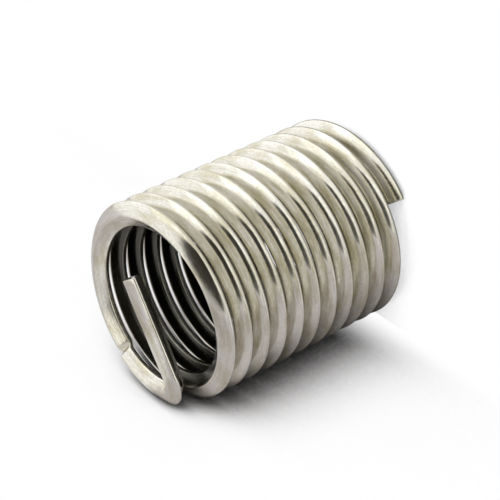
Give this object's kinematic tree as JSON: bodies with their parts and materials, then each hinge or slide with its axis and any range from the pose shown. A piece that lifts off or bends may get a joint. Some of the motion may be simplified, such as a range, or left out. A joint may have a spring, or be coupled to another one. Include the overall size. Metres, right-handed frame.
{
  "type": "threaded insert",
  "caption": "Coiled wire threaded insert: a diamond-section wire wound into a right-hand helix with a tang across the bore, lining a tapped hole with a new thread.",
  "frame": {"origin": "on the coil's axis, at the lowest point of the plain end", "axes": "+Z along the coil's axis towards the tang; +X along the tang, from its bend to its cut end"},
  "size_m": [0.0196, 0.0196, 0.0254],
  "materials": {
    "stainless_wire": "bright cold-rolled stainless wire, fine streaks along its length"
  },
  "bodies": {
    "root": {"wire_coil": "stainless_wire"}
  },
  "joints": []
}
